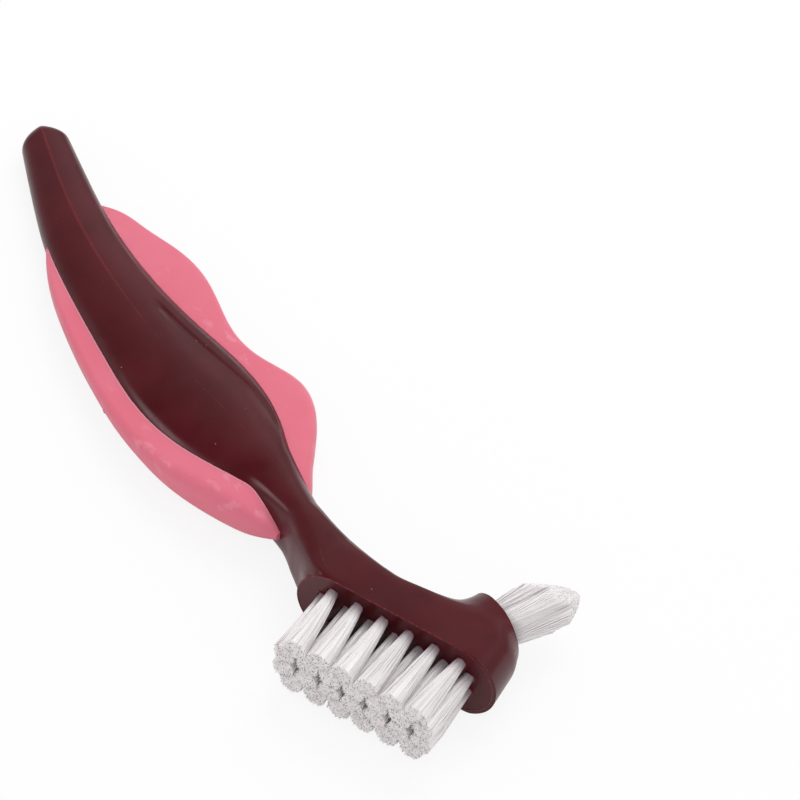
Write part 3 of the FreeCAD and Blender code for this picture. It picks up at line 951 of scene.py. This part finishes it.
def filament_points(tree, given):
    """A point for each filament, which keeps where it starts and ends, its bow and its shade."""

    def chance(low, high, salt):
        """A random number for each filament."""
        seed = number(tree, "ADD", given["Seed"], float(salt))
        drawn = node(tree, "FunctionNodeRandomValue", {"Seed": seed}, data_type="FLOAT")
        drawn.inputs[2].default_value = low
        drawn.inputs[3].default_value = high
        return drawn.outputs[1]

    def aside(first, second):
        """The vector across the tuft that goes this far to its two sides."""
        return vector_sum(tree, scaled(tree, given["First side"], first),
                          scaled(tree, given["Second side"], second))

    copies = node(tree, "GeometryNodeDuplicateElements",
                  {"Geometry": given["Mouths"], "Amount": given["Filaments"]}, domain="POINT")
    index = copies.outputs["Duplicate Index"]
    turn = number(tree, "ADD", times(tree, index, GOLDEN_ANGLE),
                  chance(-TURN_JITTER, TURN_JITTER, 1))
    share = number(tree, "DIVIDE", number(tree, "ADD", index, 0.5), given["Filaments"])
    share = number(tree, "SQRT", share)
    in_tuft = aside(times(tree, share, number(tree, "COSINE", turn)),
                    times(tree, share, number(tree, "SINE", turn)))
    mouth = node(tree, "GeometryNodeInputPosition").outputs[0]
    lean = recalled(tree, "lean")
    stray = scaled(tree, aside(chance(-1.0, 1.0, 2), chance(-1.0, 1.0, 3)), given["Stray"])
    tip_side = vector_sum(tree, scaled(tree, in_tuft, given["Tip radius"]), lean, stray)
    from_peak = vector_step(tree, "SUBTRACT", vector_sum(tree, mouth, tip_side), given["Peak"])
    off_peak = vector_step(tree, "CROSS_PRODUCT", from_peak.outputs[0], given["Outward"])
    away = vector_step(tree, "LENGTH", off_peak.outputs[0]).outputs[1]
    fall = number(tree, "POWER", number(tree, "DIVIDE", away, MM), given["Cut bend"])
    shortened = times(tree, given["Uneven"], chance(0.0, 1.0, 4))
    length = times(tree, given["Reach"], less(tree, 1.0, shortened))
    length = less(tree, length, times(tree, fall, given["Cut slope"]))
    root = vector_sum(tree, mouth, scaled(tree, in_tuft, given["Root radius"]),
                      scaled(tree, given["Outward"], times(tree, given["Start depth"], -1.0)))
    tip = vector_sum(tree, mouth, tip_side, scaled(tree, given["Outward"], length))
    bow = scaled(tree, aside(chance(-1.0, 1.0, 5), chance(-1.0, 1.0, 6)), given["Stray"])
    bow = vector_sum(tree, bow, scaled(tree, lean, LEAN_BOW))
    geometry = copies.outputs["Geometry"]
    for name, value in (("root", root), ("tip", tip), ("bow", bow)):
        geometry = stored(tree, geometry, name, value, "FLOAT_VECTOR")
    return stored(tree, geometry, "shade", chance(0, 1, 7))


def filament_curves(tree, given, points):
    """A bowed line for each filament, with even steps and a last short one for the cut's edge."""
    last = FILAMENT_STEPS + 1
    line = node(tree, "GeometryNodeCurvePrimitiveLine", {"End": (0, 0, 1)})
    line = node(tree, "GeometryNodeResampleCurve", {"Curve": line.outputs[0], "Count": last + 1})
    placed = node(tree, "GeometryNodeInstanceOnPoints",
                  {"Points": points, "Instance": line.outputs[0]})
    strands = node(tree, "GeometryNodeRealizeInstances", {"Geometry": placed.outputs[0]})
    index = node(tree, "GeometryNodeSplineParameter").outputs["Index"]
    at_bevel = number(tree, "COMPARE", index, float(FILAMENT_STEPS), 0.5)
    at_end = number(tree, "COMPARE", index, float(last), 0.5)
    along = number(tree, "MINIMUM", times(tree, index, 1 / FILAMENT_STEPS), 1.0)
    along = less(tree, along, times(tree, at_bevel, CUT_BEVEL))
    root, tip, bow = [recalled(tree, name) for name in ("root", "tip", "bow")]
    whole_way = vector_step(tree, "SUBTRACT", tip, root).outputs[0]
    arch = times(tree, along, less(tree, 1.0, along), 4.0)
    place = vector_sum(tree, root, scaled(tree, whole_way, along), scaled(tree, bow, arch))
    for operation, side in (("MAXIMUM", "Box low"), ("MINIMUM", "Box high")):
        place = vector_step(tree, operation, place, given[side]).outputs[0]
    shaped = node(tree, "GeometryNodeSetPosition",
                  {"Geometry": strands.outputs[0], "Position": place})
    kept = stored(tree, shaped.outputs[0], "along", along)
    radius = times(tree, less(tree, 1.0, times(tree, at_end, CUT_TAPER)), given["Filament radius"])
    return node(tree, "GeometryNodeSetCurveRadius", {"Curve": kept, "Radius": radius}).outputs[0]


def filament_tree(material):
    """Node tree that fills each tuft with filaments, from one point at the mouth of each hole."""
    tree = bpy.data.node_groups.new("filaments", "GeometryNodeTree")
    tree.interface.new_socket("Mouths", in_out="INPUT", socket_type="NodeSocketGeometry")
    tree.interface.new_socket("Tufts", in_out="OUTPUT", socket_type="NodeSocketGeometry")
    for kind, names in FILAMENT_INPUTS.items():
        for name in names:
            tree.interface.new_socket(name, in_out="INPUT", socket_type="NodeSocket" + kind)
    given = tree.nodes.new("NodeGroupInput").outputs
    curves = filament_curves(tree, given, filament_points(tree, given))
    profile = node(tree, "GeometryNodeCurvePrimitiveCircle", {"Resolution": 5, "Radius": 1.0})
    swept = node(tree, "GeometryNodeCurveToMesh",
                 {"Curve": curves, "Profile Curve": profile.outputs[0], "Fill Caps": True})
    if "Scale" in swept.inputs:
        radius = node(tree, "GeometryNodeInputRadius").outputs[0]
        tree.links.new(radius, swept.inputs["Scale"])
    smooth = node(tree, "GeometryNodeSetShadeSmooth", {"Geometry": swept.outputs[0]})
    whole = node(tree, "GeometryNodeRealizeInstances", {"Geometry": smooth.outputs[0]})
    dressed = node(tree, "GeometryNodeSetMaterial",
                   {"Geometry": whole.outputs[0], "Material": material})
    node(tree, "NodeGroupOutput", {0: dressed.outputs[0]})
    return tree


def grow_filaments(name, tree, mouths, leans, sizes):
    """Run the filament tree over the mouths and keep its result as a plain mesh."""
    thing = make_object(name, mouths, [])
    lean = thing.data.attributes.new("lean", "FLOAT_VECTOR", "POINT")
    lean.data.foreach_set("vector", (np.asarray(leans, float) @ TURN.T).ravel())
    modifier = thing.modifiers.new("filaments", "NODES")
    modifier.node_group = tree
    for item in tree.interface.items_tree:
        if item.name in sizes:
            modifier[item.identifier] = sizes[item.name]
    graph = bpy.context.evaluated_depsgraph_get()
    made = bpy.data.meshes.new_from_object(thing.evaluated_get(graph))
    thing.modifiers.clear()
    thing.data = made
    return thing


def filament_sizes(outward, first, second, **sizes):
    """Inputs of the filament tree: what all tufts share, their directions and their own sizes."""
    outward, first, second = [tuple(map(float, side @ TURN.T / MM))
                              for side in (outward, first, second)]
    inset = Vector((FILAMENT_RADIUS, FILAMENT_RADIUS, FILAMENT_RADIUS)) * MM
    shared = {
        "Outward": outward, "First side": first, "Second side": second,
        "Filament radius": FILAMENT_RADIUS * MM, "Start depth": FILAMENT_START * MM,
        "Root radius": FILAMENT_ROOT_SPREAD * MM,
        "Box low": tuple(CAD_BOX[0] + inset), "Box high": tuple(CAD_BOX[1] - inset),
    }
    return shared | {key.replace("_", " "): value for key, value in sizes.items()}


def shader_material(name, roughness, **sockets):
    """Material with one Principled shader, and its tree."""
    material = bpy.data.materials.new(name)
    material.use_nodes = True
    tree = material.node_tree
    shader = tree.nodes["Principled BSDF"]
    for key, value in dict(sockets, Roughness=roughness).items():
        shader.inputs[key.replace("_", " ")].default_value = value
    return material, tree, shader


def object_noise(tree, scale, detail=3.0, offset=(0, 0, 0), stretch=(1, 1, 1)):
    """Noise that stays with the piece."""
    place = node(tree, "ShaderNodeTexCoord").outputs["Object"]
    moved = node(tree, "ShaderNodeMapping",
                 {"Vector": place, "Location": offset, "Scale": stretch}).outputs[0]
    return node(tree, "ShaderNodeTexNoise",
                {"Vector": moved, "Scale": scale, "Detail": detail}).outputs["Fac"]


def kept_value(tree, name):
    """The number that is kept on the piece's points under a name."""
    return node(tree, "ShaderNodeAttribute", attribute_name=name).outputs["Fac"]


def ramp(tree, value, low, high, start=0.0, end=1.0):
    """Clamped change of a value from one range to another."""
    return node(tree, "ShaderNodeMapRange", {
        "Value": value, "From Min": low, "From Max": high, "To Min": start, "To Max": end,
    }, interpolation_type="SMOOTHSTEP").outputs[0]


def mixed(tree, share, first, second):
    """Mix of two colours."""
    inputs = {0: share, 6: first, 7: second}
    return node(tree, "ShaderNodeMix", inputs, data_type="RGBA").outputs[2]


def uneven_roughness(tree, shader, noise, low, high):
    """Roughness that wanders between two values."""
    tree.links.new(ramp(tree, noise, 0.3, 0.7, low, high), shader.inputs["Roughness"])


def bumped(tree, shader, height, strength, distance):
    """Bump on the shader's normal."""
    made = node(tree, "ShaderNodeBump",
                {"Height": height, "Strength": strength, "Distance": distance})
    tree.links.new(made.outputs[0], shader.inputs["Normal"])


def wine_plastic():
    """Glossy moulded plastic: faint flow, dust, pits and a parting line along the ridge, with
    painted highlights: a brighter strip along the ridge and pale broken dashes on the line.
    """
    material, tree, shader = shader_material("wine_plastic", 0.2, Specular_IOR_Level=0.32)
    cloud = ramp(tree, object_noise(tree, 60, 4), 0.35, 0.65)
    colour = mixed(tree, cloud, WINE_DEEP, WINE)
    seam = kept_value(tree, "seam")
    place = node(tree, "ShaderNodeTexCoord").outputs["Object"]
    along = node(tree, "ShaderNodeSeparateXYZ", {0: place}).outputs["X"]
    off_ridge = number(tree, "ABSOLUTE", seam)
    # Painted highlight: a brighter red strip along the parting line on the ridge, out on the handle
    ridge = times(tree, ramp(tree, off_ridge, 0.5, 0.05), ramp(tree, along, -0.02, -0.05, 0.0, 0.3))
    colour = mixed(tree, ridge, colour, WINE_HIGHLIGHT)
    # Painted highlight: paler, broken dashes on the parting line, which also stands up a little as
    # a bump
    near = ramp(tree, off_ridge, 0.12, 0.03)
    broken = ramp(tree, object_noise(tree, 2600, 3), 0.46, 0.62)
    patchy = ramp(tree, object_noise(tree, 170, 2), 0.42, 0.6, 0.25, 1.0)
    line = times(tree, near, broken, patchy)
    colour = mixed(tree, times(tree, line, 0.4), colour, WINE_SEAM_HIGHLIGHT)
    cells = node(tree, "ShaderNodeTexVoronoi", {"Vector": place, "Scale": 420.0})
    speck = ramp(tree, cells.outputs["Distance"], 0.07, 0.03)
    rare = number(tree, "GREATER_THAN", object_noise(tree, 700, 0), 0.63)
    speck = times(tree, speck, rare)
    colour = mixed(tree, times(tree, speck, 0.6), colour, DUST)
    tree.links.new(colour, shader.inputs["Base Color"])
    uneven_roughness(tree, shader, object_noise(tree, 220, 5), 0.17, 0.27)
    height = times(tree, object_noise(tree, 350, 4), 0.16)
    height = less(tree, number(tree, "ADD", height, times(tree, line, 0.35)), speck)
    bumped(tree, shader, height, 0.35, 0.00008)
    return material


def rim_plastic():
    """The thin flash of the same plastic, with a painted highlight in brighter red patches."""
    material, tree, shader = shader_material("rim_plastic", 0.25)
    # Painted highlight: brighter red patches along the flash
    patch = ramp(tree, object_noise(tree, 1400, 2), 0.35, 0.7)
    tree.links.new(mixed(tree, patch, WINE, WINE_HIGHLIGHT), shader.inputs["Base Color"])
    bumped(tree, shader, object_noise(tree, 3000, 2), 0.4, 0.00005)
    return material


def rubber_finish(name, base):
    """Matte moulded rubber with a fine grain, soft clouds and scuffed, paler patches."""
    material, tree, shader = shader_material(
        name, 0.5, Sheen_Weight=0.22, Sheen_Roughness=0.4, Subsurface_Weight=0.12,
        Subsurface_Radius=(0.004, 0.0015, 0.0015), Subsurface_Scale=0.5)
    cloud = ramp(tree, object_noise(tree, 45, 3), 0.35, 0.7)
    colour = mixed(tree, times(tree, cloud, 0.12), base, PINK_PALE)
    scuff = ramp(tree, object_noise(tree, 420, 6, stretch=(0.6, 1, 1)), 0.56, 0.72)
    where = ramp(tree, object_noise(tree, 38, 1, offset=(0.02, 0.013, 0)), 0.52, 0.66)
    scuff = times(tree, scuff, where)
    colour = mixed(tree, times(tree, scuff, 0.55), colour, PINK_PALE)
    tree.links.new(colour, shader.inputs["Base Color"])
    uneven_roughness(tree, shader, object_noise(tree, 300, 4), 0.42, 0.58)
    height = number(tree, "ADD", object_noise(tree, 5200, 2), times(tree, scuff, 0.8))
    bumped(tree, shader, height, 0.25, 0.00006)
    return material


def nylon():
    """Pale filaments with painted shade: greyer at the root and darker on some filaments, as grey
    lines for the gaps between them; and dark cut tips.
    """
    material, tree, shader = shader_material("nylon", 0.32)
    along = kept_value(tree, "along")
    shade = kept_value(tree, "shade")
    # Painted shade: greyer toward the root
    colour = mixed(tree, ramp(tree, along, 0.08, 0.36), NYLON_ROOT_SHADE, NYLON)
    # Painted shade: some filaments darker, as grey lines for the shaded gaps between filaments
    colour = mixed(tree, ramp(tree, shade, 0.0, 0.35, 0.6, 0.0), colour, NYLON_GAP_SHADE)
    tip = ramp(tree, along, 0.992, 0.996)
    some = ramp(tree, shade, 0.84, 0.88, 0.0, 0.95)
    colour = mixed(tree, times(tree, tip, some), colour, NYLON_TIP)
    tree.links.new(colour, shader.inputs["Base Color"])
    uneven_roughness(tree, shader, object_noise(tree, 2500, 2), 0.25, 0.4)
    return material


def packed_nylon():
    """The inside of a tuft: pale, with painted shade fading to grey at the root and in fine grey
    lines for the gaps between filaments.
    """
    material, tree, shader = shader_material("packed_nylon", 0.5)
    # Painted shade: greyer toward the root, deep among the tufts
    root = ramp(tree, kept_value(tree, "along"), -0.02, 0.32)
    # Painted shade: fine grey lines for the gaps between the filaments
    gap_shade = ramp(tree, kept_value(tree, "gap_shade"), 0.0, 1.0, 0.0, 0.25)
    colour = mixed(tree, root, NYLON_ROOT_SHADE, NYLON_HEART)
    colour = mixed(tree, gap_shade, colour, NYLON_GAP_SHADE)
    tree.links.new(colour, shader.inputs["Base Color"])
    return material


def anchor_steel():
    """Flat drawn wire."""
    material, tree, shader = shader_material("anchor_steel", 0.3, Metallic=1.0)
    drawn = object_noise(tree, 2600, 3, stretch=(0.1, 1, 1))
    tree.links.new(mixed(tree, drawn, STEEL, STEEL_PALE), shader.inputs["Base Color"])
    uneven_roughness(tree, shader, drawn, 0.22, 0.4)
    return material


def white_floor():
    """Plain floor that reads as white and keeps a faint shadow."""
    size = 4.0
    mesh = bpy.data.meshes.new("floor")
    corners = [(-size, -size, 0), (size, -size, 0), (size, size, 0), (-size, size, 0)]
    mesh.from_pydata(corners, [], [(0, 1, 2, 3)])
    floor = bpy.data.objects.new("floor", mesh)
    bpy.context.scene.collection.objects.link(floor)
    material = bpy.data.materials.new("white_floor")
    material.use_nodes = True
    tree = material.node_tree
    tree.nodes.clear()
    plain = node(tree, "ShaderNodeBsdfDiffuse", {"Color": (0.9, 0.9, 0.9, 1)})
    path = node(tree, "ShaderNodeLightPath").outputs
    white = mixed(tree, path["Is Glossy Ray"], WHITE, MIRRORED_WHITE)
    light = node(tree, "ShaderNodeEmission", {"Color": white, "Strength": 1.0})
    # Where the floor is seen, it mostly shines by itself, so only a faint shadow shows on it
    seen = number(tree, "MAXIMUM", path["Is Camera Ray"], path["Is Transmission Ray"])
    seen = number(tree, "MAXIMUM", seen, times(tree, path["Is Glossy Ray"], 0.3))
    surface = node(tree, "ShaderNodeMixShader",
                   {0: times(tree, seen, 0.87), 1: plain.outputs[0], 2: light.outputs[0]})
    node(tree, "ShaderNodeOutputMaterial", {"Surface": surface.outputs[0]})
    mesh.materials.append(material)


def studio_world():
    """Even pale surroundings: white low down, darker overhead in reflections."""
    world = bpy.data.worlds.new("studio")
    bpy.context.scene.world = world
    world.use_nodes = True
    tree = world.node_tree
    tree.nodes.clear()
    direction = node(tree, "ShaderNodeTexCoord").outputs["Generated"]
    sides = node(tree, "ShaderNodeSeparateXYZ", {0: direction}).outputs
    # What glossy surfaces mirror: darker overhead and low on the far side, one bright side light
    mirrored = number(tree, "ADD", less(tree, 0.93, sides["Z"]), times(tree, sides["Y"], 0.37))
    mirrored = number(tree, "MINIMUM", number(tree, "MAXIMUM", mirrored, 0.03), 1.0)
    dim = times(tree, ramp(tree, sides["Y"], 0.45, 0.8), ramp(tree, sides["Z"], 0.5, 0.2, 0.0, 0.6))
    mirrored = times(tree, mirrored, less(tree, 1.0, dim))
    to_side_light = vector_step(tree, "DOT_PRODUCT", direction, SIDE_LIGHT).outputs["Value"]
    mirrored = number(tree, "ADD", mirrored, ramp(tree, to_side_light, 0.968, 0.995, 0.0, 3.2))
    mirrored = scaled(tree, MIRRORED_WHITE[:3], mirrored)
    path = node(tree, "ShaderNodeLightPath").outputs
    even = (EVEN_LIGHT, EVEN_LIGHT, EVEN_LIGHT, 1)
    strength = mixed(tree, path["Is Glossy Ray"], even, mirrored)
    strength = mixed(tree, path["Is Camera Ray"], strength, WHITE)
    background = node(tree, "ShaderNodeBackground", {"Color": strength, "Strength": 1.0})
    node(tree, "ShaderNodeOutputWorld", {"Surface": background.outputs[0]})


def soft_lamp(name, place, size, power, target):
    """Square area lamp that points at the target."""
    data = bpy.data.lights.new(name, "AREA")
    data.shape = "SQUARE"
    data.size = size
    data.energy = power
    lamp = bpy.data.objects.new(name, data)
    lamp.location = place
    lamp.rotation_euler = (Vector(target) - Vector(place)).to_track_quat("-Z", "Y").to_euler()
    lamp.visible_glossy = False
    bpy.context.scene.collection.objects.link(lamp)


def photo_camera():
    """Camera at the photograph's viewing angle."""
    data = bpy.data.cameras.new("camera")
    data.lens = CAMERA_LENS
    data.sensor_width = 36
    data.clip_start = 0.05
    data.clip_end = 20
    camera = bpy.data.objects.new("camera", data)
    place = Vector(laid(CAMERA_PLACE))
    view = Vector(CAMERA_AIM) - Vector(CAMERA_PLACE)
    turn = view.to_track_quat("-Z", "Y") @ Quaternion((0, 0, 1), CAMERA_ROLL)
    camera.rotation_mode = "QUATERNION"
    camera.location = place
    camera.rotation_quaternion = Matrix.Rotation(-REST_ANGLE, 4, "Y").to_quaternion() @ turn
    bpy.context.scene.collection.objects.link(camera)
    bpy.context.scene.camera = camera


# Core and grip
plastic = wine_plastic()
rubber = rubber_finish("pink_rubber", PINK)
pale_rubber = rubber_finish("pale_rubber", PINK_PALE)
grip = make_grip()
core = make_core(grip)
store_seam(core)
smooth_between(core, 38)
finished(core, plastic, "hard_plastic", "handle_core")
smooth_between(grip, 50)
finished(grip, rubber, "soft_rubber", "rubber_grip")

# Lips, gate mark and rims
# The lower lips take the pale rubber as a painted highlight where the lower wing's edge catches the
# light; the upper lips keep the plain pink
for name, side, finish in (("upper_lips", 1, rubber), ("lower_lips", -1, pale_rubber)):
    lips = [lip_part(side, up) for up in (1, -1)]
    fine_piece(name, lips, 60, finish, "soft_rubber")
fine_piece("gate_mark", gate_parts(), 40, pale_rubber, "soft_rubber")
fine_piece("mould_rims", [face_edge_part()] + hole_rim_parts(), 60, rim_plastic(), "hard_plastic")

# Tufts
bristle = nylon()
tree = filament_tree(bristle)
main_mouths = main_tuft_mouths()
point_mouths = point_tuft_mouths()
main_leans = [ALONG_FACE * (TUFT_LEAN * (1 - along / FACE_ARC) * TUFT_LENGTH)
              for _, along in main_mouths]
point_leans = [(mouth - point_mouths[0]) * POINT_LEAN for mouth in point_mouths]

field_sizes = filament_sizes(
    -INTO_HEAD, ALONG_FACE, UP, Filaments=FIELD_FILAMENTS, Reach=TUFT_LENGTH * MM,
    Tip_radius=FIELD_TIP_RADIUS * MM, Stray=FIELD_STRAY * MM, Uneven=FIELD_UNEVEN,
    Cut_slope=0.0, Cut_bend=1.0, Peak=(0.0, 0.0, 0.0))
names = sorted(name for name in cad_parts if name.startswith("tuft_row"))
half = len(main_mouths) // 2
for name, part, seed in (("upper_bristles", slice(0, half), 3),
                         ("lower_bristles", slice(half, 2 * half), 4)):
    field = grow_filaments(name, tree, [mouth for mouth, _ in main_mouths[part]],
                           main_leans[part], dict(field_sizes, Seed=seed))
    finished(field, bristle, "bristle_nylon", *names[part])
hearts = make_hearts(main_mouths, main_leans, point_mouths, point_leans)
smooth_between(hearts, 60)
finished(hearts, packed_nylon(), "bristle_nylon")

peak = laid([END_DISC[0] + POINT_CUT_SHIFT, END_DISC[1], 0])
point_sizes = filament_sizes(
    ACROSS, RIGHT, UP, Filaments=POINT_FILAMENTS, Reach=POINT_REACH * MM,
    Tip_radius=POINT_TIP_RADIUS * MM, Stray=POINT_STRAY * MM, Uneven=POINT_UNEVEN,
    Cut_slope=POINT_CUT_SLOPE * MM, Cut_bend=POINT_CUT_BEND, Peak=tuple(map(float, peak)), Seed=11)
point = grow_filaments("point_bristles", tree, point_mouths, point_leans, point_sizes)
finished(point, bristle, "bristle_nylon",
         *[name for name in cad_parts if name.startswith("point_tuft")])

# Anchors
steel = anchor_steel()
for name in ("main_anchors", "point_anchors"):
    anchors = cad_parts[name]
    anchors.data.materials.clear()
    anchors.data.materials.append(steel)

# Surroundings
white_floor()
studio_world()
middle = (CAD_BOX[0] + CAD_BOX[1]) / 2
for lamp in LAMPS:
    soft_lamp(*lamp, middle)
photo_camera()

bpy.context.scene.view_settings.view_transform = "Standard"
